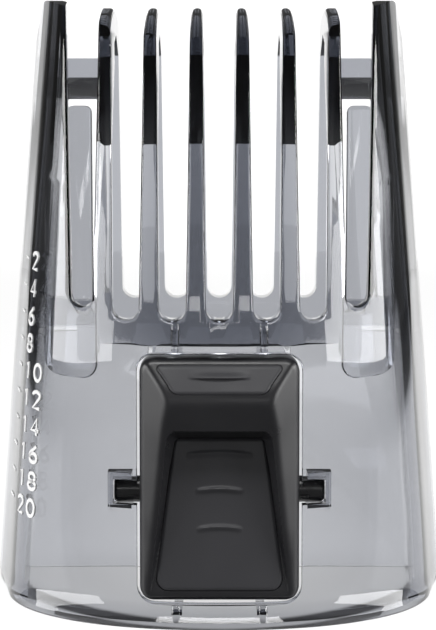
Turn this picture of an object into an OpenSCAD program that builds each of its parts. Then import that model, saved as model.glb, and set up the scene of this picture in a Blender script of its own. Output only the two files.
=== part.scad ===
// Adjustable guard comb for a hair trimmer: a clear tapered sleeve that the trimmer's head enters from
// below, eight long teeth on top, and a rocking latch in the front wall.
// Millimetres, +Z up, latch towards -Y. The origin is the middle of the footprint, on the bottom rim.
// Inside the modules y = 0 is the front wall's reference plane. placed() moves it to the model's frame.

/* [Sleeve] */
// Half width of the sleeve at the bottom rim, at the rear corners
rim_half_w = 25; // [24:0.5:26]
// How much each flank leans in for each millimetre of height
flank_taper = 0.078; // [0.07:0.002:0.085]
// Depth from the front wall's reference plane to the rear wall
depth = 28; // [27.5:0.5:29]
// How far the front wall's middle stands in front of the reference plane
front_bulge = 0.9; // [0.7:0.1:1.1]
// How far the rim's flare stands out from the front wall
flare_out = 1.1; // [0.8:0.1:1.2]
// Height where the flare starts
flare_h = 3.2; // [2.8:0.1:3.6]
// Height of the rim's upright edge
rim_edge_h = 0.8; // [0.6:0.1:1]
// Thickness of the front wall
front_wall = 1.2; // [1.1:0.1:1.5]
// Thickness of the flanks
flank_wall = 1.5; // [1.3:0.1:1.8]
// Thickness of the band that carries the teeth
band_wall = 4.2; // [3.8:0.1:4.4]
// Thickness of the tabs beside the band
tab_wall = 1.9; // [1.7:0.1:2.2]
// Height of the band's lower edge
band_z = 28.6; // [28.4:0.1:29]
// Height of the lower edge of the thicker tabs beside the band
tab_z = 24.9; // [24:0.1:26]

/* [Teeth] */
// Spacing of the six inner teeth
tooth_pitch = 4.74; // [4.6:0.02:4.8]
// Thickness of an inner tooth at its root
tooth_root_t = 2; // [1.8:0.05:2.2]
// Thickness of an inner tooth at the height of the bend in its front edge
tooth_bend_t = 1.3; // [1.1:0.05:1.5]
// Height where the teeth leave the band
shoulder_z = 31.1; // [31:0.1:31.5]
// Height of the bend in the front edge
bend_z = 60; // [59:0.5:61]
// Backward lean of the teeth's front edges in degrees
tooth_lean = 14; // [13:0.5:15]
// Radius of the domed top, seen from the side
dome_r = 31; // [29:1:33]
// How much higher the two outer teeth stand
outer_rise = 0.8; // [0.5:0.1:1]

/* [Latch] */
// Half width of the rocker
rocker_half_w = 8.05; // [7.8:0.05:8.2]
// Height of the rocker's bottom edge
rocker_z0 = 2.8; // [2.7:0.1:3]
// Height of the rocker's top edge
rocker_z1 = 27.5; // [27:0.1:27.6]
// How far the rocker's crest stands in front of the reference plane
crest_out = 2.6; // [2.4:0.1:3]
// Gap between the rocker and its window
window_gap = 0.3; // [0.25:0.05:0.4]
// Radius of the pivot pin
pin_r = 1.35; // [1.2:0.05:1.4]
// Radial running clearance of the pin in its pockets
pin_clearance = 0.05; // [0.03:0.01:0.08]
// Depth of the pivot's axis behind the reference plane
pivot_y = 2.6; // [2.5:0.1:2.8]
// Height of the pivot's axis
pivot_z = 13.7; // [13.5:0.1:14]
// Half length of the pivot pin
pin_half_l = 10.7; // [10.5:0.1:10.8]
// Radius of the return spring at the middle of its wire
spring_r = 1.9; // [1.7:0.1:2.1]
// Radius of the spring's wire
wire_r = 0.2; // [0.15:0.05:0.25]

/* [Scale] */
// Height of the figure 2
scale_top_z = 36.3; // [36:0.1:36.5]
// Height between one figure and the next
scale_step = 2.86; // [2.8:0.02:2.9]
// Height of a figure
digit_h = 2.1; // [1.9:0.1:2.2]
// Width of a figure
digit_w = 2; // [1.6:0.1:2.2]

/* [Hidden] */

// Middle of the depth, from the rocker's crest to the rear wall
mid_y = (depth - crest_out) / 2;
// Room that cutting shapes reach past what they cut
over = 4;

// Half of the sleeve's outline at the rim, from the front middle round to the flank, as a cubic curve
rim_curve = [[0, 0], [14, 0], [21, 7.5], [22.6, 15]];
// Depth that the outline is drawn at, and the radius of its rear corner
rim_depth = 30.7;
corner_r = 2.2;
// Inner faces of the outer teeth at the shoulder and at the bend
outer_tooth_x = [15.2, 16.05];
inner_zone = 2.5 * tooth_pitch + 1.3;
slot_r = (tooth_pitch - tooth_root_t) / 2;
// Inner edge of the band's side tabs, their outer edge, and the height where they have thinned into the wall
tab_x = [12.2, 17.5];
tab_top = 46;
// Arch inside each inner tooth
arch_front_y = band_wall - front_bulge;
arch_knee = [7.5, 48.4];
arch_step_y = 16.5;
arch_step_z = [57, 59.2];
arch_peak = [21, 60.2];
arch_rear = [25.2, 58];
// The rear cover's panel and the thicker tongues that reach up between the teeth
cover_t = 1;
tongue_t = 2.8;
cover_top = 27;
tongue_x = [14.2, 17];
tongue_top = 52.5;
catch_z = [53.2, 55.6, 57.7];
catch_y = [24.4, 26.9, 27.7];
// The rails behind the window, and the window itself
rail_x = 4.2;
rail_w = 0.9;
rail_y = [4.8, 5.8];
rail_top = 30.2;
window_half_w = rocker_half_w + window_gap;
window_z = [rocker_z0 - 0.4, rocker_z1 + window_gap];
// Height and depth of the rocker's crest, step and scoop
crest_z = 23.7;
step_z = 20.4;
scoop_top = [1.2, 19.2];
scoop_end = [-1.1, 3.4];
grip_t = 0.6;
spring_z = 7.2;
spring_y = [2.9, rail_y[1]];

function cubic(p, t) = pow(1 - t, 3) * p[0] + 3 * t * pow(1 - t, 2) * p[1]
    + 3 * t * t * (1 - t) * p[2] + t * t * t * p[3];
function flipped(p) = [for (i = [len(p) - 1:-1:0]) if (p[i][0] > 0) [-p[i][0], p[i][1]]];
front_half = [for (i = [0:12]) cubic(rim_curve, i / 12)];
corner = [for (a = [0:30:90]) [rim_half_w + corner_r * (cos(a) - 1), rim_depth + corner_r * (sin(a) - 1)]];
// Closed outlines at the rim: the whole sleeve, and the cavity, which runs out past the rear wall
outer_outline = concat(front_half, corner, flipped(concat(front_half, corner)));
open_half = concat(front_half, [[rim_half_w, rim_depth - corner_r], [rim_half_w, rim_depth + 6]]);
inner_outline = concat(open_half, flipped(open_half));

// Where the front wall's middle stands at a height, with a flare of the given size at the rim
function front_y(z, flare) = let (
        low = flare * (z < rim_edge_h ? 1 : z > flare_h ? 0 : pow((flare_h - z) / (flare_h - rim_edge_h), 2)),
        lean = z > shoulder_z ? (z - shoulder_z) * tan(tooth_lean) : 0
    ) lean - front_bulge - low;
function half_w(z) = rim_half_w - flank_taper * z;
function ring(outline, z, side_in, front_in, flare) = let (
        w = (half_w(z) - side_in) / rim_half_w,
        y0 = front_y(z, flare) + front_in,
        d = (depth - y0) / rim_depth
    ) [for (p = outline) [p[0] * w, y0 + p[1] * d, z]];

module placed() translate([0, -mid_y, 0]) children();
// Extrusions of a drawing in x and z along Y, and of a drawing in y and z along X
module along_y(a, b) translate([0, b, 0]) rotate([90, 0, 0]) linear_extrude(b - a) children();
module along_x(a, b) translate([a, 0, 0]) rotate([90, 0, 90]) linear_extrude(b - a) children();
module both_sides() {
    children();
    mirror([1, 0, 0]) children();
}

// A closed skin over rings of points
module loft(rings) {
    n = len(rings[0]);
    m = len(rings);
    points = [for (r = rings) for (p = r) p];
    sides = [for (k = [0:m - 2]) for (i = [0:n - 1]) let (a = k * n + i, b = k * n + (i + 1) % n)
        for (f = [[a, a + n, b + n], [a, b + n, b]]) f];
    ends = [[for (i = [0:n - 1]) i], [for (i = [n - 1:-1:0]) (m - 1) * n + i]];
    polyhedron(points, concat(sides, ends));
}

module outer_loft() {
    heights = [0, rim_edge_h, 1.4, 2.2, flare_h, shoulder_z, bend_z + 6];
    loft([for (z = heights) ring(outer_outline, z, 0, 0, flare_out)]);
}

// The sleeve's shape without its flare, set in from the outside by the given distances
module skin_loft(front_in, side_in, outline)
    loft([for (z = [-1, shoulder_z, bend_z + 8]) ring(outline, z, side_in, front_in, 0)]);

module rounded_slab(half_w, z0, z1, r) {
    translate([r - half_w, z0]) square([2 * (half_w - r), z1 - z0]);
    translate([-half_w, z0 + r]) square([2 * half_w, z1 - z0 - 2 * r]);
    for (x = [r - half_w, half_w - r], z = [z0 + r, z1 - r]) translate([x, z]) circle(r, $fn = 32);
}

// Side view of the domed top, with everything below it
module dome(rise) {
    top = bend_z + 3 + rise;
    translate([20.5, top - dome_r]) circle(dome_r, $fn = 96);
    translate([-over, -1]) square([depth + 2 * over, top - dome_r + 24]);
}

// Front view of the gap between two inner teeth
module inner_slot() {
    z = shoulder_z + slot_r;
    wide = (tooth_pitch - tooth_bend_t) / 2;
    translate([0, z]) circle(slot_r, $fn = 32);
    polygon([[-slot_r, z], [slot_r, z], [wide, bend_z], [wide + 0.25, bend_z + 6], [-wide - 0.25, bend_z + 6],
        [-wide, bend_z]]);
}

// Front view of the gap between an outer tooth and its neighbour
module outer_slot() {
    x0 = 2.5 * tooth_pitch + tooth_root_t / 2;
    r = (outer_tooth_x[0] - x0) / 2;
    z = 32.2 + r;
    translate([x0 + r, z]) circle(r, $fn = 32);
    polygon([[x0, z], [outer_tooth_x[0], z], [outer_tooth_x[1], bend_z], [outer_tooth_x[1] + 0.2, bend_z + 6],
        [x0 - 0.6, bend_z + 6], [x0 - 0.35, bend_z]]);
}

module slots() {
    for (i = [-2:2]) translate([i * tooth_pitch, 0]) inner_slot();
    both_sides() outer_slot();
}

// Side view of the hollow through the middle of the sleeve and its inner teeth
module arch() {
    polygon([[-over, -1], [-over, band_z], [arch_front_y, band_z], arch_knee,
        [arch_step_y, arch_step_z[0]], [arch_step_y, arch_step_z[1]], arch_peak, arch_rear,
        [arch_rear[0], cover_top + 0.2], [depth + over, cover_top + 0.2], [depth + over, -1]]);
}

// Front view of the tab beside the band, with rounded lower corners
module tab_front() {
    r = 1.5;
    w = tab_x[1] - tab_x[0];
    translate([tab_x[0], tab_z + r]) square([w, bend_z - tab_z - r]);
    translate([tab_x[0] + r, tab_z]) square([w - 2 * r, bend_z - tab_z]);
    for (x = [tab_x[0] + r, tab_x[1] - r]) translate([x, tab_z + r]) circle(r, $fn = 32);
}

// Back of the tabs, which ends inside the sleeve's wall at the top
module tab_back() {
    thick = [for (z = [-1, shoulder_z, tab_top, bend_z + 8]) [z, z < tab_top ? tab_wall : front_wall - 0.1]];
    loft([for (s = thick) ring(inner_outline, s[0], s[1] + 0.3, s[1], 0)]);
}

// Extra thickness behind the front corner, which the outer teeth stand on
module tabs() intersection() {
    difference() {
        skin_loft(front_wall / 2, flank_wall / 2, outer_outline);
        tab_back();
    }
    both_sides() along_y(-over, depth / 2) tab_front();
}

module cavity() difference() {
    skin_loft(front_wall, flank_wall, inner_outline);
    difference() {
        translate([-inner_zone, -over, -2]) cube([2 * inner_zone, depth + 3 * over, bend_z + 20]);
        along_x(-inner_zone - 1, inner_zone + 1) arch();
    }
}

// Block behind the front wall that a pin end turns in, and the pocket it is pressed into from the front
module pin_boss() translate([8.8, 0.9, pivot_z - 1.8]) cube([2.4, 3.5, 3.6]);

module pin_pocket() {
    mouth_h = 2.5;
    x = window_half_w - 0.5;
    length = pin_half_l + 0.1 - x;
    translate([x, pivot_y, pivot_z]) rotate([0, 90, 0])
        cylinder(r = pin_r + pin_clearance, h = length, $fn = 48);
    translate([x, -over, pivot_z - mouth_h / 2]) cube([length, over + pivot_y, mouth_h]);
}

// Guide rail behind the window, tied into the band at its top and into the rim at its foot
module rail() translate([rail_x - rail_w / 2, 0, 0]) {
    translate([0, rail_y[0], rim_edge_h]) cube([rail_w, rail_y[1] - rail_y[0], rail_top - rim_edge_h]);
    translate([0, 0, rim_edge_h]) cube([rail_w, rail_y[1], 0.7]);
    translate([0, 0, rail_top - 1]) cube([rail_w, rail_y[1], 1]);
}

// Bar across the back of an outer gap, with a ramp below it that the cover's tongue snaps past
module catch_bar() along_x(2.5 * tooth_pitch, half_w(catch_z[2]) - flank_wall / 2)
    polygon([[catch_y[1], catch_z[0]], [catch_y[2], catch_z[0]], [catch_y[2], catch_z[2]],
        [catch_y[0], catch_z[2]], [catch_y[0], catch_z[1]]]);

// Bar in front of the tongue that ties the rear of the band to the flank
module crossbar() {
    x0 = 2.5 * tooth_pitch;
    translate([x0, depth - tongue_t - 2.5, 28]) cube([half_w(31) - flank_wall / 2 - x0, 2.2, 3]);
    translate([x0, depth - tongue_t - 2.5, 28]) cube([inner_zone - x0, tongue_t, 3]);
}

module comb_body() color([0.68, 0.69, 0.72]) placed() {
    difference() {
        union() {
            intersection() {
                union() {
                    difference() {
                        outer_loft();
                        cavity();
                    }
                    tabs();
                }
                union() {
                    along_x(-inner_zone, inner_zone) dome(0);
                    both_sides() along_x(inner_zone, rim_half_w + 1) dome(outer_rise);
                }
            }
            both_sides() {
                pin_boss();
                rail();
            }
        }
        along_y(-over, depth + over) slots();
        along_y(-over, rail_y[0] - 1) rounded_slab(window_half_w, window_z[0], window_z[1], 1.8);
        both_sides() pin_pocket();
    }
    both_sides() {
        catch_bar();
        crossbar();
    }
}

module rear_cover() color([0.7, 0.71, 0.74]) placed() {
    gap = 0.15;
    low = half_w(0) - flank_wall - gap;
    high = half_w(cover_top) - flank_wall - gap;
    r = 0.8;
    along_y(depth - cover_t, depth) polygon([[-low, 0], [low, 0], [high, cover_top], [-high, cover_top]]);
    both_sides() along_y(depth - tongue_t, depth) {
        w = tongue_x[1] - tongue_x[0];
        translate([tongue_x[0], cover_top - 3]) square([w, tongue_top - r - cover_top + 3]);
        translate([tongue_x[0] + r, cover_top]) square([w - 2 * r, tongue_top - cover_top]);
        for (x = [tongue_x[0] + r, tongue_x[1] - r]) translate([x, tongue_top - r]) circle(r, $fn = 32);
    }
}

// Side view of the rocker
module rocker_profile() polygon([[-0.5, rocker_z1], [-crest_out, crest_z], [-2.2, step_z], scoop_end,
    [-0.7, rocker_z0], [2.2, rocker_z0], [spring_y[0], 5], [spring_y[0], 9.6], [4.4, pivot_z - 1.6],
    [4.4, pivot_z + 1.6], [3.3, pivot_z + 3.4], [3.3, rocker_z1]]);

// Front views of the scoop's mouth and of the pad in it
module scoop_front(inset) polygon([[-5.25 + inset, step_z - inset], [5.25 - inset, step_z - inset],
    [6.9 - inset, 5 + inset], [-6.9 + inset, 5 + inset]]);

// Side view of the scoop, sunk deeper by the pad's thickness
module scoop_side(sunk) polygon([[-over, step_z], [-2.2, step_z], [scoop_top[0] + sunk, scoop_top[1]],
    [scoop_end[0] + sunk, scoop_end[1]], [-over, scoop_end[1]]]);

module thumb_pad(t) intersection() {
    along_x(-8, 8) polygon([scoop_top, [scoop_top[0] + t, scoop_top[1]], [scoop_end[0] + t, scoop_end[1]],
        scoop_end]);
    along_y(-over, over) scoop_front(0.5);
}

module finger_pad(t) {
    run = crest_z - rocker_z1;
    a = [-0.5, rocker_z1] + 0.12 * [0.5 - crest_out, run];
    b = [-0.5, rocker_z1] + 0.9 * [0.5 - crest_out, run];
    intersection() {
        along_x(-8, 8) polygon([a, b, b + [t, 0], a + [t, 0]]);
        along_y(-over, over) polygon([[-6.3, rocker_z1], [6.3, rocker_z1], [5, crest_z], [-5, crest_z]]);
    }
}

module latch_rocker() color([0.15, 0.15, 0.17]) placed() difference() {
    intersection() {
        along_x(-rocker_half_w, rocker_half_w) rocker_profile();
        along_y(-over, 2 * over) rounded_slab(rocker_half_w, rocker_z0, rocker_z1, 1.5);
    }
    both_sides() translate([5.5, 0, crest_z]) rotate([0, -7, 0]) translate([0, 0, -over * 6])
        linear_extrude(over * 8) polygon([[0, -crest_out], [4, 0.7], [4, -over], [0, -over]]);
    intersection() {
        along_x(-8, 8) scoop_side(0);
        along_y(-over, over) scoop_front(0);
    }
    thumb_pad(grip_t);
    finger_pad(0.6);
    translate([-9, pivot_y, pivot_z]) rotate([0, 90, 0]) cylinder(r = pin_r, h = 18, $fn = 48);
}

module ridge(length, z, y) translate([-length / 2, y, z]) rotate([0, 90, 0])
    cylinder(r = 0.25, h = length, $fn = 24);

module thumb_grip() color([0.2, 0.2, 0.22]) placed() {
    slope = (scoop_top[0] - scoop_end[0]) / (scoop_top[1] - scoop_end[1]);
    thumb_pad(grip_t);
    for (r = [[6.7, 17.6], [4.9, 14], [4.7, 10.2]])
        ridge(r[0], r[1], scoop_end[0] + slope * (r[1] - scoop_end[1]));
}

module finger_grip() color([0.35, 0.35, 0.37]) placed() {
    finger_pad(0.6);
    ridge(6.3, 25.7, -1.55);
}

module lock_pawl() color([0.1, 0.1, 0.11]) placed() along_x(-2.2, 2.2) polygon([[3.3, 21.5], [5.3, 21.5],
    [6.3, 22.3], [6.3, 22.9], [5.5, 23.4], [6.3, 24.1], [6.3, 24.7], [5.3, 25.5], [3.3, 25.5]]);

module pivot_pin() color([0.12, 0.12, 0.13]) placed() translate([-pin_half_l, pivot_y, pivot_z])
    rotate([0, 90, 0]) cylinder(r = pin_r, h = 2 * pin_half_l, $fn = 48);

// Compression coil along Y, from the rocker's lower arm to its seat, with its end turns closed up
coil_turns = 4;
turn_steps = 18;
function coil_point(u) = let (
        a = 360 * coil_turns * u,
        reach = spring_y[1] - spring_y[0] - 2 * wire_r
    ) [spring_r * cos(a), spring_y[0] + wire_r + reach * (u - sin(360 * u) / 15),
        spring_z + spring_r * sin(a)];
function coil_ring(u) = let (a = 360 * coil_turns * u, out = [cos(a), 0, sin(a)])
    [for (k = [0:7]) coil_point(u) + wire_r * (cos(45 * k) * out + sin(45 * k) * [0, 1, 0])];

module return_spring() color("silver") placed() {
    n = coil_turns * turn_steps;
    loft([for (i = [0:n]) coil_ring(i / n)]);
}

module spring_seat() color([0.3, 0.3, 0.32]) placed() {
    translate([-5, rail_y[1], 4.4]) cube([10, 0.8, 5.6]);
    both_sides() translate([rail_x + rail_w / 2 + 0.05, rail_y[0] + 0.2, 4.4]) cube([0.3, 0.8, 5.6]);
}

// Strokes of the figures on a grid one unit wide and two high
strokes = [
    [[[0, 0], [1, 0], [1, 2], [0, 2], [0, 0]]],
    [[[0.5, 0], [0.5, 2]]],
    [[[0, 2], [1, 2], [1, 1], [0, 1], [0, 0], [1, 0]]],
    [],
    [[[0, 2], [0, 1], [1, 1]], [[1, 2], [1, 0]]],
    [],
    [[[1, 2], [0, 2], [0, 0], [1, 0], [1, 1], [0, 1]]],
    [],
    [[[0, 0], [1, 0], [1, 2], [0, 2], [0, 0]], [[0, 1], [1, 1]]]
];

module stroke_bar(a, b, w, t) {
    low = [min(a[0], b[0]), min(a[1], b[1])];
    size = [abs(a[0] - b[0]), abs(a[1] - b[1])];
    translate([low[0] - w / 2, low[1] - w / 2, -t / 2]) cube([size[0] + w, size[1] + w, t]);
}

// A figure centred on the origin
module digit(d) {
    w = 0.38;
    function place(p) = [(p[0] - 0.5) * (digit_w - w), (p[1] - 1) * (digit_h - w) / 2];
    for (line = strokes[d], i = [0:len(line) - 2]) stroke_bar(place(line[i]), place(line[i + 1]), w, 0.3);
}

// The rim's half outline past its middle, carried on straight along the flank for t beyond 1
function side_point(t) = t < 1 ? cubic(rim_curve, t)
    : rim_curve[3] + (t - 1) * ([rim_half_w, rim_depth - corner_r] - rim_curve[3]);

// Puts what is drawn in x and y on the left flank, at a height and a place along the outline
module on_flank(z, t) {
    w = half_w(z) / rim_half_w;
    d = (depth - front_y(z, flare_out)) / rim_depth;
    p = side_point(t);
    ahead = side_point(t + 0.01) - side_point(t - 0.01);
    turn = atan2(ahead[1] * d, ahead[0] * w);
    translate([-p[0] * w, front_y(z, flare_out) + p[1] * d, z]) rotate([0, 0, -turn])
        rotate([90 + 3.3, 0, 0]) children();
}

// The figures are placed one by one, so that each lies on the curved wall
module scale_numerals() color("white") placed() for (n = [2:2:20]) {
    z = scale_top_z - scale_step * (n / 2 - 1);
    on_flank(z, 0.88) digit(n < 10 ? n : floor(n / 10));
    if (n >= 10) on_flank(z, 0.76) digit(n % 10);
}

module scale_ticks() color("white") placed() for (n = [2:2:20])
    on_flank(scale_top_z - scale_step * (n / 2 - 1), 1.25) translate([-1.5, -0.1, -0.15]) cube([3, 0.2, 0.3]);

comb_body();
rear_cover();
latch_rocker();
thumb_grip();
finger_grip();
lock_pawl();
pivot_pin();
return_spring();
spring_seat();
scale_numerals();
scale_ticks();
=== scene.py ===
import math

import bmesh
import bpy
import numpy as np
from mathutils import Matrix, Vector


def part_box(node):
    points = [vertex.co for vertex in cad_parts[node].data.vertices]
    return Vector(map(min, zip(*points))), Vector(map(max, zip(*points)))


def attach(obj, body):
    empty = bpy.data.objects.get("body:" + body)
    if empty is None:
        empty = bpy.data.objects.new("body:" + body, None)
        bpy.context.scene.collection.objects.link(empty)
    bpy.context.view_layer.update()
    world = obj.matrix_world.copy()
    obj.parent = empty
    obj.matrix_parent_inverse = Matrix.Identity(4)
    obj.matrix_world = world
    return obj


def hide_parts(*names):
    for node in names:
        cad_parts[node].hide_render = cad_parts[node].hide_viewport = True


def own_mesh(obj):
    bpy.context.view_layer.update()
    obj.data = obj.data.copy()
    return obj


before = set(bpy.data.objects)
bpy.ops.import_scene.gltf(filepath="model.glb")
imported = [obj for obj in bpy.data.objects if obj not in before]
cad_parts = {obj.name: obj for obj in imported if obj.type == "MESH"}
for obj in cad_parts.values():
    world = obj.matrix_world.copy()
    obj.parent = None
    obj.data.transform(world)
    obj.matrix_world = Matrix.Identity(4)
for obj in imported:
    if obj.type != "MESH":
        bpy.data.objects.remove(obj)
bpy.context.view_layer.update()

# Shapes are drawn in millimetres, with y = 0 on the front wall's reference plane, as in the part's source.
MM = 0.001
scene = bpy.context.scene
CREST_OUT = 2.6  # how far the latch's crest stands out of the front wall
FRONT_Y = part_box("latch_rocker")[0].y + CREST_OUT * MM
# The sleeve's outline: its rim, the bulge and flare of its front, and where the teeth start to lean back
DEPTH = 28.0
RIM_HALF_W = 25.0
FLANK_TAPER = 0.078
RIM_DEPTH = 30.7
CORNER_R = 2.2
RIM_CURVE = ((0, 0), (14, 0), (21, 7.5), (22.6, 15))
FRONT_BULGE = 0.9
FLARE_OUT = 1.1
FLARE_H = 3.2
RIM_EDGE_H = 0.8
SHOULDER_Z = 31.1
BEND_Z = 60.0
LEAN = math.tan(math.radians(14))
# The round top of the inner teeth, and how much higher the outer teeth go
DOME_R = 31.0
DOME_Y = 20.5
DOME_TOP = 63.0
OUTER_RISE = 0.8
# Walls, the thick band above the window and the tabs behind the outer teeth
FRONT_WALL = 1.2
FLANK_WALL = 1.5
BAND_WALL = 4.2
BAND_Z = 28.6
TAB_WALL = 1.9
TAB_Z = 24.9
TAB_TOP = 46.0
TAB_X = (12.2, 17.5)
# The teeth
PITCH = 4.74
ROOT_T = 2.0
BEND_T = 1.3
INNER_ZONE = 2.5 * PITCH + 1.3
OUTER_TOOTH_X = (15.2, 16.05)
OUTER_SLOT_Z = 32.2
# The latch, its window and its pin
ROCKER_HALF_W = 8.05
ROCKER_Z = (2.8, 27.5)
ROCKER_R = 1.5
PAD_DEPTH = 0.5
THUMB_Z = (3.9, 19.15)
FINGER_Z = (24.05, 26.9)
WINDOW_HALF_W = 8.35
WINDOW_Z = (2.4, 27.8)
WINDOW_R = 1.8
PIVOT_Y = 2.6
PIVOT_Z = 13.7
PIN_R = 1.35
PIN_HALF_L = 10.7
SPRING_Z = 7.2
SPRING_Y = (2.9, 5.8)
# The rear panel
TONGUE_X = (14.2, 17.0)
TONGUE_TOP = 52.5
TONGUE_T = 2.8
COVER_TOP = 27.0
COVER_T = 1.0
EDGE = 0.3  # radius of the moulding's visible edges
# The studio: how bright the floor glows, its own paleness, how much glow a painted shadow leaves under the
# object, and how far the glow reaches to each side
FLOOR_GLOW = 0.9
PALE = 0.22
GLOW_IN_PAINTED_SHADOW = 0.72
GLOW_HALF_W = 0.14


# ---------------------------------------------------------------- mesh helpers

def placed(points):
    """Millimetres in the drawing's frame to metres in the model's frame."""
    points = np.asarray(points, float)
    return points * MM + np.array([0.0, FRONT_Y, 0.0])


def mesh_object(name, points, faces, smooth_angle=35):
    mesh = bpy.data.meshes.new(name)
    mesh.from_pydata([tuple(p) for p in placed(points)], [], [tuple(f) for f in faces])
    mesh.validate()
    ob = bpy.data.objects.new(name, mesh)
    scene.collection.objects.link(ob)
    outward(ob)
    shade(ob, smooth_angle)
    return ob


def outward(ob):
    """Turns the faces of each closed shell outwards."""
    bm = bmesh.new()
    bm.from_mesh(ob.data)
    bmesh.ops.recalc_face_normals(bm, faces=bm.faces)
    bm.to_mesh(ob.data)
    bm.free()


def shade(ob, angle):
    ob.data.shade_smooth()
    ob.data.set_sharp_from_angle(angle=math.radians(angle))


def loft(rings):
    """Points and faces of a closed skin over rings that all have the same number of points."""
    n = len(rings[0])
    points = [p for ring in rings for p in ring]
    faces = []
    for k in range(len(rings) - 1):
        for i in range(n):
            j = (i + 1) % n
            faces.append((k * n + i, k * n + j, (k + 1) * n + j, (k + 1) * n + i))
    faces.append(tuple(range(n))[::-1])
    faces.append(tuple((len(rings) - 1) * n + i for i in range(n)))
    return points, faces


def joined(parts):
    """Several (points, faces) lists as one."""
    points, faces = [], []
    for p, f in parts:
        start = len(points)
        points += list(p)
        faces += [tuple(start + i for i in face) for face in f]
    return points, faces


def mirrored(part):
    points, faces = part
    return [(-x, y, z) for x, y, z in points], [tuple(reversed(f)) for f in faces]


def both_sides(part):
    return joined([part, mirrored(part)])


def prism_y(outline, y0, y1):
    """A drawing in x and z, carried along y."""
    return loft([[(x, y0, z) for x, z in outline], [(x, y1, z) for x, z in outline]])


def prism_x(outline, x0, x1):
    """A drawing in y and z, carried along x."""
    return loft([[(x0, y, z) for y, z in outline], [(x1, y, z) for y, z in outline]])


def arc(cx, cy, r, start, end, steps):
    """Points on a circle's arc, angles in degrees."""
    angles = np.radians(np.linspace(start, end, steps + 1))
    return [(cx + r * math.cos(a), cy + r * math.sin(a)) for a in angles]


def rounded_box(half, z0, z1, r):
    return (arc(half - r, z0 + r, r, -90, 0, 8) + arc(half - r, z1 - r, r, 0, 90, 8)
            + arc(r - half, z1 - r, r, 90, 180, 8) + arc(r - half, z0 + r, r, 180, 270, 8))


def apply_modifiers(ob):
    bpy.context.view_layer.update()
    done = bpy.data.meshes.new_from_object(ob.evaluated_get(bpy.context.evaluated_depsgraph_get()))
    old = ob.data
    ob.modifiers.clear()
    ob.data = done
    bpy.data.meshes.remove(old)


def boolean(ob, other, how):
    """ob is cut by, joined with or kept inside other, which is then deleted."""
    mod = ob.modifiers.new(how, "BOOLEAN")
    mod.operation = how
    mod.solver = "MANIFOLD"
    mod.object = other
    apply_modifiers(ob)
    bpy.data.objects.remove(other)


def bevel(ob, width, segments, angle=40):
    mod = ob.modifiers.new("edges", "BEVEL")
    mod.width = width * MM
    mod.segments = segments
    mod.limit_method = "ANGLE"
    mod.angle_limit = math.radians(angle)
    mod.harden_normals = False
    apply_modifiers(ob)
    return ob


# ---------------------------------------------------------------- the sleeve's outline

def cubic(p, t):
    return tuple((1 - t) ** 3 * p[0][k] + 3 * t * (1 - t) ** 2 * p[1][k]
                 + 3 * t * t * (1 - t) * p[2][k] + t ** 3 * p[3][k] for k in (0, 1))


def half_w(z):
    return RIM_HALF_W - FLANK_TAPER * z


def front_y(z, flare):
    low = 0.0
    if z < RIM_EDGE_H:
        low = flare
    elif z < FLARE_H:
        low = flare * ((FLARE_H - z) / (FLARE_H - RIM_EDGE_H)) ** 2
    lean = (z - SHOULDER_Z) * LEAN if z > SHOULDER_Z else 0.0
    return lean - FRONT_BULGE - low


def ring(half, z, side_in=0.0, front_in=0.0, flare=0.0):
    """The outline at height z, moved inwards at the sides and at the front."""
    w = (half_w(z) - side_in) / RIM_HALF_W
    y0 = front_y(z, flare) + front_in
    d = (DEPTH - y0) / RIM_DEPTH
    full = half + [(-x, y) for x, y in reversed(half) if x > 1e-9]
    return [(x * w, y0 + y * d, z) for x, y in full]


FRONT_HALF = [cubic(RIM_CURVE, i / 36) for i in range(37)]
FLANK_END = (RIM_HALF_W, RIM_DEPTH - CORNER_R)
FLANK = [tuple(FRONT_HALF[-1][k] + (FLANK_END[k] - FRONT_HALF[-1][k]) * s / 5 for k in (0, 1))
         for s in range(1, 5)]
CORNER = arc(RIM_HALF_W - CORNER_R, RIM_DEPTH - CORNER_R, CORNER_R, 0, 90, 8)
OUTER = FRONT_HALF + FLANK + CORNER
INNER = FRONT_HALF + FLANK + [FLANK_END, (RIM_HALF_W, RIM_DEPTH + 6)]
CURVE_X = np.array([x for x, y in OUTER[:-8]])
CURVE_Y = np.array([y for x, y in OUTER[:-8]])


def surface_y(x, z):
    """Where the sleeve's front and flank surface stands at x and z."""
    w = half_w(z) / RIM_HALF_W
    y0 = front_y(z, FLARE_OUT)
    return y0 + float(np.interp(abs(x) / w, CURVE_X, CURVE_Y)) * (DEPTH - y0) / RIM_DEPTH


# ---------------------------------------------------------------- the clear front moulding

def skin(front_in, side_in, half):
    heights = [-1, 10, 20, SHOULDER_Z, 45, BEND_Z + 8]
    return loft([ring(half, z, side_in, front_in) for z in heights])


def outer_skin():
    """The whole sleeve, with the rim's flare and its rounded lower edge."""
    rings = []
    for a in (0, 30, 60):
        inset = EDGE * (1 - math.sin(math.radians(a)))
        z = EDGE * (1 - math.cos(math.radians(a)))
        rings.append([(x * (1 - inset / 28), y + inset * (1 if y < 14 else -1), z)
                      for x, y, _ in ring(OUTER, z, 0, 0, FLARE_OUT)])
    flare = [FLARE_H - (FLARE_H - RIM_EDGE_H) * (1 - s / 8) for s in range(9)]
    for z in [EDGE] + flare + [8, 14, 20, 26, SHOULDER_Z, 40, 50, BEND_Z + 6]:
        rings.append(ring(OUTER, z, 0, 0, FLARE_OUT))
    return loft(rings)


def dome_outline(rise):
    y0, y1 = -6.0, 36.0
    cz = DOME_TOP + rise - DOME_R
    a0 = math.degrees(math.acos((y0 - DOME_Y) / DOME_R))
    a1 = math.degrees(math.acos((y1 - DOME_Y) / DOME_R))
    return [(y0, -2), (y1, -2)] + arc(DOME_Y, cz, DOME_R, a1, a0, 64)


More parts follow.
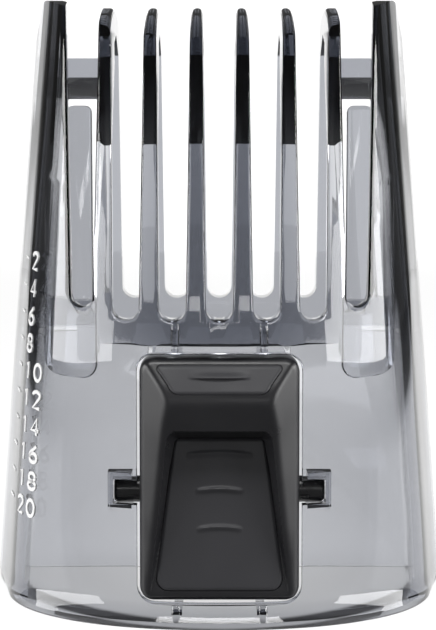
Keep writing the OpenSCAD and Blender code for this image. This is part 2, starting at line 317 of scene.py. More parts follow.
def arch_outline():
    front = BAND_WALL - FRONT_BULGE
    return [(-5, -1), (-5, BAND_Z), (front, BAND_Z), (7.5, 48.4), (16.5, 57), (16.5, 59.2), (21, 60.2),
            (25.2, 58), (25.2, COVER_TOP + 0.2), (DEPTH + 5, COVER_TOP + 0.2), (DEPTH + 5, -1)]


def slot_outline(grow, centre):
    """Front view of a gap between two teeth, grown sideways and downwards."""
    if centre:
        r = (PITCH - ROOT_T) / 2
        wide = (PITCH - BEND_T) / 2
        x0, x1, z = -r, r, SHOULDER_Z + r
        sides = [(wide, BEND_Z), (wide + 0.25, BEND_Z + 7), (-wide - 0.25, BEND_Z + 7), (-wide, BEND_Z)]
    else:
        x0, x1 = 2.5 * PITCH + ROOT_T / 2, OUTER_TOOTH_X[0]
        r = (x1 - x0) / 2
        z = OUTER_SLOT_Z + r
        sides = [(OUTER_TOOTH_X[1], BEND_Z), (OUTER_TOOTH_X[1] + 0.2, BEND_Z + 7), (x0 - 0.6, BEND_Z + 7),
                 (x0 - 0.35, BEND_Z)]
    middle = (x0 + x1) / 2
    points = arc(middle, z, r + grow, 180, 360, 16)
    right, left = points[-1], points[0]
    rise = [(right[0] + (sides[0][0] + grow - right[0]) * s, z + (BEND_Z - z) * s)
            for s in (0.25, 0.5, 0.75)]
    fall = [(left[0] + (sides[3][0] - grow - left[0]) * s, z + (BEND_Z - z) * s)
            for s in (0.75, 0.5, 0.25)]
    top = [(x + math.copysign(grow, x - middle), h) for x, h in sides]
    return points + rise + top + fall


def rounded_cut(outline, reach, share=lambda z: 1.0):
    """Cuts an outline into the front from outside, with a rounded edge. outline(grow) gives x and z, and
    share(z) how much of the rounding an edge at that height gets."""
    base = outline(0)

    def points(grow, deep):
        row = []
        for (x0, z0), (x1, z1) in zip(base, outline(grow)):
            part = share(z0)
            x, z = x0 + (x1 - x0) * part, z0 + (z1 - z0) * part
            row.append((x, surface_y(x, z) + deep * (part if deep > 0 else 1), z))
        return row

    rings = [points(EDGE + 0.05, -1.2)]
    for a in (0, 22, 45, 67, 90):
        angle = math.radians(a)
        rings.append(points(EDGE * (1 - math.sin(angle)), EDGE * (1 - math.cos(angle)) if a else -0.02))
    rings.append([(x, reach, z) for x, z in base])
    return loft(rings)


def top_round(x0, x1, rise):
    """Rounds the two edges where a gap from x0 to x1 meets the domed top, seen from the front."""
    r = 0.45
    cz = DOME_TOP + rise - DOME_R
    rings = []
    for a in np.radians(np.linspace(122, 60, 40)):
        normal = (math.cos(a), math.sin(a))
        bend = [(r * (1 - math.sin(b)), -r * (1 - math.cos(b))) for b in np.radians([22, 45, 67, 90])]
        section = [(x0 - r, 0.6), (x0 - r, 0)]
        section += [(x0 - side, out) for side, out in bend]
        section += [(x1 + side, out) for side, out in reversed(bend)]
        section += [(x1 + r, 0), (x1 + r, 0.6)]
        rings.append([(x, DOME_Y + (DOME_R + n) * normal[0], cz + (DOME_R + n) * normal[1])
                      for x, n in section])
    return loft(rings)


def slots():
    parts = []
    for i in range(-2, 3):
        parts.append(rounded_cut(lambda g, i=i: [(x + i * PITCH, z) for x, z in slot_outline(g, True)], 34))
        half = (PITCH - BEND_T) / 2 + 0.1
        parts.append(top_round(i * PITCH - half, i * PITCH + half, 0))
    return parts


def outer_slots():
    side = rounded_cut(lambda g: slot_outline(g, False), 34)
    return [side, mirrored(side)]


def pin_pocket():
    """The open pocket beside the window that a pin end is pressed into."""
    x0, x1 = WINDOW_HALF_W - 0.5, PIN_HALF_L + 0.1
    r = PIN_R + 0.05
    mouth = 1.25
    start = math.degrees(math.asin(mouth / r))
    profile = [(-5, PIVOT_Z + mouth)] + arc(PIVOT_Y, PIVOT_Z, r, 180 - start, -180 + start, 32)
    profile += [(-5, PIVOT_Z - mouth)]
    return prism_x(profile, x0, x1)


def guide_rail():
    parts = []
    for y0, y1, z0, z1 in ((4.8, 5.8, 0.8, 30.2), (0, 5.8, 0.8, 1.5), (0, 5.8, 29.2, 30.2)):
        parts.append(prism_y([(3.75, z0), (4.65, z0), (4.65, z1), (3.75, z1)], y0, y1))
    return parts


def bead(x, z0, z1):
    """A low half-round bead up the outside of the front wall."""
    r, out = 0.5, 0.22
    rings = []
    for z in np.linspace(z0, z1, 9):
        shrink = min(1.0, (z - z0 + 0.25) / 0.5, (z1 - z + 0.25) / 0.5)
        y = surface_y(x, z) + r - out * shrink
        rings.append([(px, py, z) for px, py in arc(x, y, r, 0, 345, 23)])
    return loft(rings)


def catch_parts():
    """The catch bar with its ramp, the bar in front of the tongue and its foot on the band."""
    x0 = 2.5 * PITCH
    rear = DEPTH - 0.3
    bars = []
    x1 = half_w(57.7) - FLANK_WALL / 2
    step = [(26.9, 53.2), (rear, 53.2), (rear, 57.7), (24.4, 57.7), (24.4, 55.6)]
    bars.append(prism_x(step, x0, x1))
    y0 = DEPTH - TONGUE_T - 2.5
    x2 = half_w(31) - FLANK_WALL / 2
    bars.append(prism_x([(y0, 28), (y0 + 2.2, 28), (y0 + 2.2, 31), (y0, 31)], x0, x2))
    foot = [(y0, 28), (y0 + TONGUE_T, 28), (y0 + TONGUE_T, 31), (y0, 31)]
    bars.append(prism_x(foot, x0, INNER_ZONE))
    return bars


def solid(part):
    return mesh_object("cutter", *part)


def shell():
    """The sleeve before its teeth are cut: the outer skin less the cavity below the arch."""
    core = solid(prism_y([(-INNER_ZONE, -2), (INNER_ZONE, -2), (INNER_ZONE, 80), (-INNER_ZONE, 80)], -6, 40))
    boolean(core, solid(prism_x(arch_outline(), -INNER_ZONE - 1, INNER_ZONE + 1)), "DIFFERENCE")
    cavity = solid(skin(FRONT_WALL, FLANK_WALL, INNER))
    boolean(cavity, core, "DIFFERENCE")
    body = mesh_object("clear_sleeve", *outer_skin())
    boolean(body, cavity, "DIFFERENCE")
    return body


def tabs():
    """Extra thickness behind the front corners, which thins out upwards."""
    ob = solid(skin(FRONT_WALL / 2, FLANK_WALL / 2, OUTER))
    thick = [(z, TAB_WALL) for z in (-1, 10, 20, SHOULDER_Z)]
    thick += [(z, FRONT_WALL - 0.1) for z in (TAB_TOP, BEND_Z + 8)]
    back = loft([ring(INNER, z, t + 0.3, t) for z, t in thick])
    boolean(ob, solid(back), "DIFFERENCE")
    middle, half = sum(TAB_X) / 2, (TAB_X[1] - TAB_X[0]) / 2
    front = [(x + middle, z) for x, z in rounded_box(half, TAB_Z, BEND_Z + 5, 1.5)]
    boolean(ob, solid(both_sides(prism_y(front, -4, DEPTH / 2))), "INTERSECT")
    return ob


def comb_body():
    body = shell()
    boolean(body, tabs(), "UNION")

    top = solid(prism_x(dome_outline(0), -INNER_ZONE - 0.01, INNER_ZONE + 0.01))
    outer_top = both_sides(prism_x(dome_outline(OUTER_RISE), INNER_ZONE, RIM_HALF_W + 1))
    boolean(top, solid(outer_top), "UNION")
    boolean(body, top, "INTERSECT")

    z0, z1 = PIVOT_Z - 1.8, PIVOT_Z + 1.8
    boss = prism_y([(8.8, z0), (11.2, z0), (11.2, z1), (8.8, z1)], 0.9, 4.4)
    beads = [both_sides(bead(4.4, RIM_EDGE_H, 2.5)), both_sides(bead(4.4, WINDOW_Z[1] + 0.3, 31.0))]
    for part in [both_sides(boss)] + [both_sides(p) for p in guide_rail()] + beads:
        boolean(body, solid(part), "UNION")
    for part in slots() + outer_slots():
        boolean(body, solid(part), "DIFFERENCE")
    chamfer = [(20.35, BEND_Z - 0.2), (19.1, BEND_Z + 4.2), (30, BEND_Z + 4.2), (30, BEND_Z - 0.2)]
    boolean(body, solid(both_sides(prism_y(chamfer, -6, 40))), "DIFFERENCE")
    window = rounded_cut(lambda g: rounded_box(WINDOW_HALF_W + g, WINDOW_Z[0] - g, WINDOW_Z[1] + g,
                                               WINDOW_R + g), 3.8, lambda z: 1.0 if z > 26 else 0.15)
    boolean(body, solid(window), "DIFFERENCE")
    boolean(body, solid(both_sides(pin_pocket())), "DIFFERENCE")
    for part in catch_parts():
        boolean(body, solid(both_sides(part)), "UNION")
    shade(body, 28)
    return body


def rear_cover():
    gap = 0.15
    low = half_w(0) - FLANK_WALL - gap
    high = half_w(COVER_TOP) - FLANK_WALL - gap
    panel = mesh_object("clear_cover", *prism_y(
        [(-low, 0), (low, 0), (high, COVER_TOP), (-high, COVER_TOP)], DEPTH - COVER_T, DEPTH))
    middle, half = sum(TONGUE_X) / 2, (TONGUE_X[1] - TONGUE_X[0]) / 2
    tongue = [(x + middle, z) for x, z in rounded_box(half, COVER_TOP - 3, TONGUE_TOP, 0.8)]
    boolean(panel, solid(both_sides(prism_y(tongue, DEPTH - TONGUE_T, DEPTH))), "UNION")
    bevel(panel, 0.15, 2, 50)
    shade(panel, 30)
    return panel


# ---------------------------------------------------------------- the latch

def soft_min(a, b, r):
    """The lower of two heights, with a fillet of about r where they cross."""
    h = np.clip(0.5 + 0.5 * (b - a) / r, 0, 1)
    return b * (1 - h) + a * h - r * h * (1 - h)


def soft_max(a, b, r):
    return -soft_min(-a, -b, r)


def scoop_half(z):
    """Half width of the scoop's mouth."""
    return 5.25 + (20.4 - z) * (6.9 - 5.25) / 15.4


def rocker_front(x, z):
    """How deep the rocker's front face lies at x and z, as an array."""
    up = -2.6 + (z - 23.7) * (2.1 / 3.8)
    down = np.interp(z, [2.8, 3.4, 20.4, 23.7], [-0.6, -1.1, -2.2, -2.6])
    land = soft_max(up, down, 0.8)
    # the flanks fall away from an edge that runs outwards going down
    flank = -2.35 - (z - 20.4) * 0.07 + (np.abs(x) - scoop_half(z) - 0.3) * 0.8
    face = soft_max(land, flank, 0.35)
    # the scoop, with rounded upper corners
    across, below = scoop_half(z) - np.abs(x), 20.4 - z
    r = 1.0
    corner = r - np.hypot(np.maximum(r - across, 0), np.maximum(r - below, 0))
    inside = np.where((across < r) & (below < r), corner, np.minimum(across, below))
    wall = land - 0.1 + inside * 2.7
    floor = -1.1 + (z - 3.4) * (2.3 / 15.8)
    scoop = soft_min(floor, wall, 0.25)
    return soft_max(face, scoop, 0.12)


def grid_solid(name, xs, zs, front, back):
    """A closed solid between two height fields over a grid of x and z."""
    nx, nz = xs.shape[1], xs.shape[0]
    points = [(xs[j, i], front[j, i], zs[j, i]) for j in range(nz) for i in range(nx)]
    points += [(xs[j, i], back[j, i], zs[j, i]) for j in range(nz) for i in range(nx)]
    half = nx * nz
    faces = []
    for j in range(nz - 1):
        for i in range(nx - 1):
            a, b, c, d = j * nx + i, j * nx + i + 1, (j + 1) * nx + i + 1, (j + 1) * nx + i
            faces += [(a, b, c, d), (half + a, half + d, half + c, half + b)]
    border = [i for i in range(nx)] + [j * nx + nx - 1 for j in range(1, nz)]
    border += [(nz - 1) * nx + i for i in range(nx - 2, -1, -1)] + [j * nx for j in range(nz - 2, 0, -1)]
    for k, a in enumerate(border):
        b = border[(k + 1) % len(border)]
        faces.append((b, a, half + a, half + b))
    return mesh_object(name, points, faces)


def rounded_grid(half, z0, z1, r, nx, nz):
    """A grid that fills an upright box with rounded corners, its rows closer together at both ends."""
    v = np.linspace(0, 1, nz)
    v = v - 0.12 * np.sin(2 * math.pi * v) / (2 * math.pi) * 4
    z = z0 + (z1 - z0) * v
    low = np.clip(r - (z - z0), 0, r)
    high = np.clip(r - (z1 - z), 0, r)
    cut_low = r - np.sqrt(np.maximum(r * r - low * low, 0))
    cut_high = r - np.sqrt(np.maximum(r * r - high * high, 0))
    xs = np.outer(half - np.maximum(cut_low, cut_high), np.linspace(-1, 1, nx))
    zs = np.outer(z, np.ones(nx))
    return xs, zs


def latch_rocker():
    z0, z1 = ROCKER_Z
    xs, zs = rounded_grid(ROCKER_HALF_W, z0, z1, ROCKER_R, 161, 221)
    front = rocker_front(xs, zs)
    # the outer edge is rounded all round
    side = ROCKER_HALF_W - np.abs(xs)
    ends = np.minimum(zs - z0, z1 - zs)
    corner_x, corner_z = np.maximum(ROCKER_R - side, 0), np.maximum(ROCKER_R - ends, 0)
    margin = np.where((corner_x > 0) & (corner_z > 0), ROCKER_R - np.hypot(corner_x, corner_z),
                      np.minimum(side, ends))
    margin = np.clip(margin, 0, 1)
    edge = 0.55
    roll = edge * (1 - np.sqrt(1 - (1 - np.clip(margin / edge, 0, 1)) ** 2))
    front = front + roll
    back = np.interp(zs, [z0, 5, 9.6, 12.1, 15.3, 17.1, z1], [2.2, 2.9, 2.9, 4.4, 4.4, 3.3, 3.3])
    back = back - roll * 0.5
    ob = grid_solid("rocker", xs, zs, front, np.maximum(back, front + 0.3))
    pin = solid(prism_x(arc(PIVOT_Y, PIVOT_Z, PIN_R, 0, 354, 59), -9, 9))
    boolean(ob, pin, "DIFFERENCE")
    pocket(ob, thumb_outline(0.02), thumb_face)
    pocket(ob, finger_outline(0.02), finger_face)
    shade(ob, 40)
    return ob


def thumb_outline(grow=0.0):
    """Front view of the thumb pad: a trapezoid with rounded corners."""
    z0, z1 = THUMB_Z[0] - grow, THUMB_Z[1] + grow
    low, high = 6.45 + grow, 4.75 + grow
    r1, r0 = 0.8, 1.3
    lean = math.degrees(math.atan2(low - high, z1 - z0))
    points = arc(high - r1, z1 - r1, r1, 90, lean, 8)
    points += arc(low - r0 - 0.05, z0 + r0, r0, lean, -90, 8)
    return points + [(-x, z) for x, z in reversed(points)]


def finger_outline(grow=0.0):
    """Front view of the finger pad: wider at the top, with large lower corners."""
    z0, z1 = FINGER_Z[0] - grow, FINGER_Z[1] + grow
    low, high = 5.05 + grow, 6.3 + grow
    points = arc(high - 0.4, z1 - 0.4, 0.4, 90, -20, 5) + arc(low - 1.1, z0 + 1.3, 1.3, -20, -90, 8)
    return points + [(-x, z) for x, z in reversed(points)]


def thumb_face(x, z):
    return -1.1 + (z - 3.4) * (2.3 / 15.8)


def finger_face(x, z):
    return -2.6 + (z - 23.7) * (2.1 / 3.8)


def pocket(ob, outline, face):
    """Sinks an outline into the rocker's front, for a pad to sit in."""
    rings = [[(x, face(x, z) + deep, z) for x, z in outline] for deep in (-1.0, PAD_DEPTH)]
    boolean(ob, solid(loft(rings)), "DIFFERENCE")


def pad_grid(name, outline, ends, face, relief, nx, nz):
    """A pad cut from a fine height field: its outline, its face and the relief on the face."""
    z0, z1 = ends
    zs1 = np.linspace(z0 + 1e-4, z1 - 1e-4, nz)
    right = sorted([(z, x) for x, z in outline if x > 0])
    hz = np.array([p[0] for p in right])
    hx = np.array([p[1] for p in right])
    half = np.interp(zs1, hz, hx)
    xs = np.outer(half, np.linspace(-1, 1, nx))
    zs = np.outer(zs1, np.ones(nx))
    edge = np.minimum(np.minimum(half[:, None] - np.abs(xs), zs - z0), z1 - zs)
    roll = 0.22 * (1 - np.clip(edge / 0.4, 0, 1)) ** 2
    front = face(xs, zs) - relief(xs, zs) - 0.1 + roll
    return grid_solid(name, xs, zs, front, face(xs, zs) + PAD_DEPTH)


def thumb_relief(x, z):
    """Three arched ridges, each sharp below and fading above."""
    total = np.zeros_like(x)
    for length, height, tall in ((6.7, 17.6, 0.14), (4.9, 14.0, 0.25), (4.7, 10.2, 0.25)):
        half = length / 2
        u = np.clip(np.abs(x) / half, 0, 1)
        crest = height + 0.25 * (1 - u * u) - 0.1
        rise = z - crest
        bump = np.where(rise > 0, np.exp(-(rise / 0.17) ** 2), np.exp(-(rise / 0.3) ** 2))
        total += tall * bump * (1 - u ** 4) ** 0.75
    return total


def finger_relief(x, z):
    """One lens-shaped ridge, sharp below and fading above."""
    u = np.clip(np.abs(x) / 3.15, 0, 1)
    rise = z - 25.7
    crest = np.where(rise > 0, np.exp(-(rise / 0.4) ** 2), np.exp(-(rise / 0.14) ** 2))
    return 0.4 * crest * (1 - u ** 2.5)


def thumb_grip():
    return pad_grid("thumb_pad", thumb_outline(), THUMB_Z, thumb_face, thumb_relief, 141, 181)


def finger_grip():
    return pad_grid("finger_pad", finger_outline(), FINGER_Z, finger_face, finger_relief, 121, 61)


def pivot_pin():
    """The pin's ends are chamfered."""
    rings = []
    for x, r in ((-PIN_HALF_L, PIN_R - 0.3), (-PIN_HALF_L + 0.3, PIN_R), (PIN_HALF_L - 0.3, PIN_R),
                 (PIN_HALF_L, PIN_R - 0.3)):
        rings.append([(x, y, z) for y, z in arc(PIVOT_Y, PIVOT_Z, r, 0, 354, 59)])
    return mesh_object("pin", *loft(rings))


def lock_pawl():
    profile = [(3.3, 21.5), (5.3, 21.5), (6.3, 22.3), (6.3, 22.9), (5.5, 23.4), (6.3, 24.1), (6.3, 24.7),
               (5.3, 25.5), (3.3, 25.5)]
    return bevel(mesh_object("pawl", *prism_x(profile, -2.2, 2.2)), 0.12, 3)


def return_spring():
    """A round wire wound on its true helix, as in the part's source."""
    turns, steps, sides = 4, 48, 12
    spring_r, wire_r = 1.9, 0.2
    reach = SPRING_Y[1] - SPRING_Y[0] - 2 * wire_r
    rings = []
    for i in range(turns * steps + 1):
        u = i / (turns * steps)
        a = 2 * math.pi * turns * u
        out = Vector((math.cos(a), 0, math.sin(a)))
        y = SPRING_Y[0] + wire_r + reach * (u - math.sin(2 * math.pi * u) / 15)
        middle = spring_r * out + Vector((0, y, SPRING_Z))
        rings.append([tuple(middle + wire_r * (math.cos(b) * out + math.sin(b) * Vector((0, 1, 0))))
                      for b in np.linspace(0, 2 * math.pi, sides, endpoint=False)])
    return mesh_object("spring", *loft(rings), 60)


def spring_seat():
    ob = mesh_object("seat", *prism_x([(5.8, 4.4), (6.6, 4.4), (6.6, 10), (5.8, 10)], -5, 5))
    lip = prism_x([(5, 4.4), (5.9, 4.4), (5.9, 10), (5, 10)], 4.7, 5)
    boolean(ob, solid(both_sides(lip)), "UNION")
    return bevel(ob, 0.08, 2)


# ---------------------------------------------------------------- the printed scale

SCALE_TOP_Z = 36.3
SCALE_STEP = 2.86
DIGIT_H = 2.1
DIGIT_W = 2.0
INK = 0.08


def side_point(t):
    if t < 1:
        return cubic(RIM_CURVE, t)
    return tuple(RIM_CURVE[3][k] + (t - 1) * (FLANK_END[k] - RIM_CURVE[3][k]) for k in (0, 1))


def flank_axes(z, t):
    """Where a mark sits on the left flank, with its across, up and outward directions."""
    w = half_w(z) / RIM_HALF_W
    y0 = front_y(z, FLARE_OUT)
    d = (DEPTH - y0) / RIM_DEPTH
    p = side_point(t)
    a, b = side_point(t - 0.01), side_point(t + 0.01)
    back = Vector((-(b[0] - a[0]) * w, (b[1] - a[1]) * d, 0)).normalized()
    across = -back
    up = Vector((FLANK_TAPER, 0, 1)).normalized()
    up = (up - up.dot(across) * across).normalized()
    outward_dir = across.cross(up).normalized()
    return Vector((-p[0] * w, y0 + p[1] * d, z)), across, up, outward_dir


def stroke_lines():
    """Each figure as curves on a grid one unit wide and two high, with round bowls."""
    def bowl(cx, cy, rx, ry, start, end):
        return [(cx + rx * math.cos(math.radians(a)), cy + ry * math.sin(math.radians(a)))
                for a in np.linspace(start, end, 17)]
    return {
        0: [bowl(0.5, 1, 0.5, 1, 0, 360)],
        1: [[(0.2, 1.65), (0.55, 2), (0.55, 0)]],
        2: [bowl(0.5, 1.5, 0.5, 0.5, 170, -35) + [(0.05, 0), (1, 0)]],
        4: [[(0.75, 0), (0.75, 2), (0, 0.6), (1.05, 0.6)]],
        6: [[(0.85, 2)] + bowl(0.6, 0.6, 0.6, 0.9, 110, 180) + bowl(0.5, 0.55, 0.5, 0.55, 180, -180)],
        8: [bowl(0.5, 1.5, 0.42, 0.5, 0, 360), bowl(0.5, 0.5, 0.5, 0.5, 0, 360)],
    }


def ribbon(line, width, thick, axes):
    """A printed stroke: a low bar that follows a line on the flank."""
    origin, across, up, out = axes
    points, faces = [], []
    n = len(line)
    for k, (u, v) in enumerate(line):
        a, b = line[max(k - 1, 0)], line[min(k + 1, n - 1)]
        run = Vector((b[0] - a[0], b[1] - a[1]))
        run = run.normalized() if run.length else Vector((1, 0))
        side = Vector((-run.y, run.x)) * width / 2
        for s, lift in ((1, -0.2), (1, thick), (-1, thick), (-1, -0.2)):
            p = origin + across * (u + s * side.x) + up * (v + s * side.y) + out * lift
            points.append(tuple(p))
    for k in range(n - 1):
        for c in range(4):
            d = (c + 1) % 4
            faces.append((k * 4 + c, k * 4 + d, (k + 1) * 4 + d, (k + 1) * 4 + c))
    faces += [(3, 2, 1, 0), tuple((n - 1) * 4 + c for c in range(4))]
    return points, faces


def scale_numerals():
    parts = []
    w = 0.38
    for n in range(2, 21, 2):
        z = SCALE_TOP_Z - SCALE_STEP * (n / 2 - 1)
        figures = [(n, 0.88)] if n < 10 else [(n // 10, 0.88), (n % 10, 0.76)]
        for figure, t in figures:
            axes = flank_axes(z, t)
            for line in stroke_lines()[figure]:
                flat = [((u - 0.5) * (DIGIT_W - w), (v - 1) * (DIGIT_H - w) / 2) for u, v in line]
                parts.append(ribbon(flat, w, INK, axes))
    return mesh_object("numerals", *joined(parts))


def scale_ticks():
    parts = []
    for n in range(2, 21, 2):
        z = SCALE_TOP_Z - SCALE_STEP * (n / 2 - 1)
        parts.append(ribbon([(-1.5, 0), (0, 0), (1.5, 0)], 0.25, INK, flank_axes(z, 1.25)))
    return mesh_object("ticks", *joined(parts))


# ---------------------------------------------------------------- materials

def material(name):
    mat = bpy.data.materials.new(name)
    mat.use_nodes = True
    return mat, mat.node_tree, mat.node_tree.nodes["Principled BSDF"]


def object_noise(nt, scale, detail=3.0):
    coords = nt.nodes.new("ShaderNodeTexCoord")
    noise = nt.nodes.new("ShaderNodeTexNoise")
    noise.inputs["Scale"].default_value = scale
    noise.inputs["Detail"].default_value = detail
    nt.links.new(coords.outputs["Object"], noise.inputs["Vector"])
    return noise


def ramp(nt, source, low, high, start=0.3, end=0.7):
    node = nt.nodes.new("ShaderNodeMapRange")
    node.inputs["From Min"].default_value = start
    node.inputs["From Max"].default_value = end
    node.inputs["To Min"].default_value = low
    node.inputs["To Max"].default_value = high
    nt.links.new(source, node.inputs["Value"])
    return node.outputs["Result"]


def two_tone(nt, source, dark, pale):
    node = nt.nodes.new("ShaderNodeMix")
    node.data_type = "RGBA"
    node.inputs["A"].default_value = (*dark, 1)
    node.inputs["B"].default_value = (*pale, 1)
    nt.links.new(source, node.inputs["Factor"])
    return node.outputs["Result"]


def bump(nt, source, distance):
    node = nt.nodes.new("ShaderNodeBump")
    node.inputs["Strength"].default_value = 1.0
    node.inputs["Distance"].default_value = distance
    nt.links.new(source, node.inputs["Height"])
    return node.outputs["Normal"]


def smoke_plastic():
    """Clear smoke-grey plastic: tinted through its thickness, with the faintest moulding waves."""
    mat, nt, p = material("smoke_clear")
    p.inputs["Base Color"].default_value = (1, 1, 1, 1)
    p.inputs["Transmission Weight"].default_value = 1
    p.inputs["IOR"].default_value = 1.49
    fine = object_noise(nt, 900)
    nt.links.new(ramp(nt, fine.outputs["Fac"], 0.01, 0.05), p.inputs["Roughness"])
    slow = object_noise(nt, 120, 1)
    nt.links.new(bump(nt, slow.outputs["Fac"], 0.00002), p.inputs["Normal"])
    volume = nt.nodes.new("ShaderNodeVolumeAbsorption")
    volume.inputs["Color"].default_value = (0.27, 0.292, 0.354, 1)
    volume.inputs["Density"].default_value = 430
    nt.links.new(volume.outputs[0], nt.nodes["Material Output"].inputs["Volume"])
    return mat


def black_plastic(name, color, rough, grain_scale, grain):
    """Moulded plastic with a fine spark-eroded grain, rubbed a little smoother in patches."""
    mat, nt, p = material(name)
    wear = object_noise(nt, 160)
    tint = two_tone(nt, wear.outputs["Fac"], [c * 0.85 for c in color], [c * 1.15 for c in color])
    nt.links.new(tint, p.inputs["Base Color"])
    nt.links.new(ramp(nt, wear.outputs["Fac"], rough - 0.08, rough + 0.08), p.inputs["Roughness"])
    fine = object_noise(nt, grain_scale, 4)
    nt.links.new(bump(nt, fine.outputs["Fac"], grain), p.inputs["Normal"])
    return mat


def spring_steel():
    mat, nt, p = material("spring_steel")
    p.inputs["Metallic"].default_value = 1
    draw = object_noise(nt, 1500)
    nt.links.new(ramp(nt, draw.outputs["Fac"], 0.18, 0.4), p.inputs["Roughness"])
    tint = two_tone(nt, draw.outputs["Fac"], (0.42, 0.42, 0.43), (0.62, 0.62, 0.61))
    nt.links.new(tint, p.inputs["Base Color"])
    return mat


def white_ink():
    mat, nt, p = material("white_ink")
    grain = object_noise(nt, 3000)
    tint = two_tone(nt, grain.outputs["Fac"], (0.74, 0.74, 0.74), (0.9, 0.9, 0.9))
    nt.links.new(tint, p.inputs["Base Color"])
    nt.links.new(ramp(nt, grain.outputs["Fac"], 0.45, 0.65), p.inputs["Roughness"])
    return mat


# ---------------------------------------------------------------- pieces

SMOKE = smoke_plastic()
LATCH = black_plastic("latch_black", (0.012, 0.012, 0.014), 0.34, 5000, 0.000006)
GRIP = black_plastic("grip_black", (0.03, 0.03, 0.034), 0.5, 9000, 0.00001)
PIN = black_plastic("pin_black", (0.012, 0.012, 0.013), 0.2, 4000, 0.000004)
SEAT = black_plastic("seat_grey", (0.07, 0.07, 0.075), 0.4, 5000, 0.000006)

PIECES = [
    (comb_body, "sleeve", "comb_body", "smoke_clear", SMOKE),
    (rear_cover, "sleeve", "rear_cover", "smoke_clear", SMOKE),
    (latch_rocker, "latch", "latch_rocker", "latch_black", LATCH),
    (thumb_grip, "latch", "thumb_grip", "grip_black", GRIP),
    (finger_grip, "latch", "finger_grip", "grip_black", GRIP),
    (lock_pawl, "latch", "lock_pawl", "latch_black", LATCH),
    (pivot_pin, "latch", "pivot_pin", "pin_black", PIN),
    (spring_seat, "sleeve", "spring_seat", "seat_grey", SEAT),
    (scale_numerals, "sleeve", "scale_numerals", "print_white", white_ink()),
    (scale_ticks, "sleeve", "scale_ticks", "print_white", white_ink()),
]

for build, body, node, slot, mat in PIECES:
    piece = build()
    piece.data.materials.clear()
    piece.data.materials.append(mat)
    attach(piece, body)
    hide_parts(node)

# Pressing the latch shortens the spring by a quarter, 0.7 mm; here the spring is built at one length only.
# Its rear end stays on the seat.
spring = return_spring()
spring.data.materials.clear()
spring.data.materials.append(spring_steel())
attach(spring, "sleeve")
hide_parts("return_spring")
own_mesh(spring)


# ---------------------------------------------------------------- camera and studio

def camera():
    data = bpy.data.cameras.new("view")
    data.lens = 120
    data.sensor_width = 36
    data.clip_start = 0.01
    rise = math.radians(6)
    aim = Vector((-0.15 * MM, FRONT_Y, 31.8 * MM))
    cam = bpy.data.objects.new("view", data)
    cam.location = aim + 210 * MM * Vector((0, -math.cos(rise), math.sin(rise)))
    cam.rotation_euler = (math.pi / 2 - rise, 0, 0)
    scene.collection.objects.link(cam)
    scene.camera = cam


def light(name, place, size, power, aim=(0, 0, 0.03)):
    data = bpy.data.lights.new(name, "AREA")
    data.shape = "RECTANGLE"
    data.size, data.size_y = size
    data.energy = power
    ob = bpy.data.objects.new(name, data)
    ob.location = place
    ob.rotation_euler = (Vector(aim) - Vector(place)).to_track_quat("-Z", "Y").to_euler()
    scene.collection.objects.link(ob)


def quad(name, corners, mat):
    mesh = bpy.data.meshes.new(name)
    mesh.from_pydata(corners, [], [(0, 1, 2, 3)])
    ob = bpy.data.objects.new(name, mesh)
    ob.data.materials.append(mat)
    scene.collection.objects.link(ob)


def soft_edge(nt, source, start, end):
    return ramp(nt, source, 0.0, 1.0, start, end)


def math_node(nt, operation, a, b):
    node = nt.nodes.new("ShaderNodeMath")
    node.operation = operation
    for socket, value in zip(node.inputs, (a, b)):
        if isinstance(value, (int, float)):
            socket.default_value = value
        else:
            nt.links.new(value, socket)
    return node.outputs["Value"]


def painted_contact_shadow(nt, x, y):
    """Painted shadow: dims the floor's glow inside the object's outline, most of all right under its front
    wall.
    """
    across = math_node(nt, "DIVIDE", x, RIM_HALF_W * MM)
    behind = math_node(nt, "SUBTRACT", y, FRONT_Y + DEPTH * MM)
    ahead = math_node(nt, "DIVIDE", math_node(nt, "MINIMUM", behind, 0.0), (DEPTH + 1.6) * MM)
    past = math_node(nt, "DIVIDE", math_node(nt, "MAXIMUM", behind, 0.0), 0.2 * MM)
    along = math_node(nt, "ADD", ahead, past)
    square = math_node(nt, "ADD", math_node(nt, "MULTIPLY", across, across),
                       math_node(nt, "MULTIPLY", along, along))
    reach = math_node(nt, "SQRT", square, 0.0)
    shade_ramp = nt.nodes.new("ShaderNodeValToRGB")
    stops = shade_ramp.color_ramp.elements
    stops[0].position, stops[0].color = 0.0, (*[GLOW_IN_PAINTED_SHADOW] * 3, 1)
    stops[1].position, stops[1].color = 1.0, (1, 1, 1, 1)
    # painted shadow: the glow stays dimmed inside the outline and falls almost to black in a ring under the
    # rim
    for place, value in ((0.925, GLOW_IN_PAINTED_SHADOW), (0.945, 0.05), (0.985, 0.05)):
        stop = stops.new(place)
        stop.color = (value, value, value, 1)
    nt.links.new(reach, shade_ramp.inputs["Fac"])
    return shade_ramp.outputs["Color"]


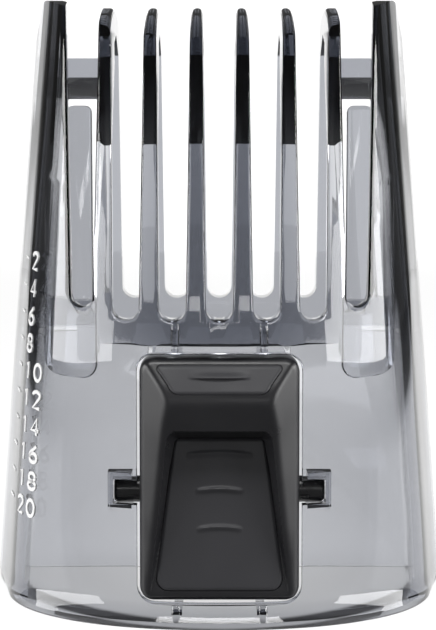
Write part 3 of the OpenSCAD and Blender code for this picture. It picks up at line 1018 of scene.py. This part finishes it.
def glow(name, strength, front=None):
    """A surface lit from within between two soft edges. With front, only the part behind front is lit, and a
    painted shadow dims the glow under the object.
    """
    mat, nt, p = material(name)
    p.inputs["Base Color"].default_value = (PALE, PALE, PALE, 1)
    p.inputs["Roughness"].default_value = 0.9
    p.inputs["Specular IOR Level"].default_value = 0
    p.inputs["Emission Color"].default_value = (1, 1, 1, 1)
    coords = nt.nodes.new("ShaderNodeTexCoord")
    split = nt.nodes.new("ShaderNodeSeparateXYZ")
    nt.links.new(coords.outputs["Object"], split.inputs["Vector"])
    left = soft_edge(nt, split.outputs["X"], -GLOW_HALF_W - 0.06, -GLOW_HALF_W)
    right = soft_edge(nt, split.outputs["X"], GLOW_HALF_W + 0.06, GLOW_HALF_W)
    level = math_node(nt, "MULTIPLY", left, right)
    if front is not None:
        level = math_node(nt, "MULTIPLY", level, soft_edge(nt, split.outputs["Y"], front - 0.003, front))
        # painted shadow on the floor's glow under the object
        level = math_node(nt, "MULTIPLY", level, painted_contact_shadow(nt, split.outputs["X"], split.outputs["Y"]))
    nt.links.new(ramp(nt, level, 0.0, strength, 0.0, 1.0), p.inputs["Emission Strength"])
    return mat


camera()
quad("floor", [(-0.5, -0.5, 0), (0.5, -0.5, 0), (0.5, 0.5, 0), (-0.5, 0.5, 0)],
     glow("floor", FLOOR_GLOW, FRONT_Y - 1.5 * MM))
quad("backdrop", [(-0.5, 0.5, 0), (0.5, 0.5, 0), (0.5, 0.5, 0.12), (-0.5, 0.5, 0.12)],
     glow("backdrop", 1.0))
light("left", (-0.3, -0.07, 0.07), (0.3, 0.13), 0.8, aim=(0, 0, 0.02))
light("right", (0.3, -0.07, 0.07), (0.3, 0.13), 1.0, aim=(0, 0, 0.02))
light("front", (0, -0.4, 0.11), (0.2, 0.02), 0.08, aim=(0, 0, 0.01))
light("top", (0, -0.18, 0.36), (0.25, 0.1), 0.85, aim=(0, 0, 0.03))
world = bpy.data.worlds.new("studio")
world.use_nodes = True
world.node_tree.nodes["Background"].inputs["Color"].default_value = (1, 1, 1, 1)
world.node_tree.nodes["Background"].inputs["Strength"].default_value = 0.1
scene.world = world
scene.view_settings.view_transform = "Standard"
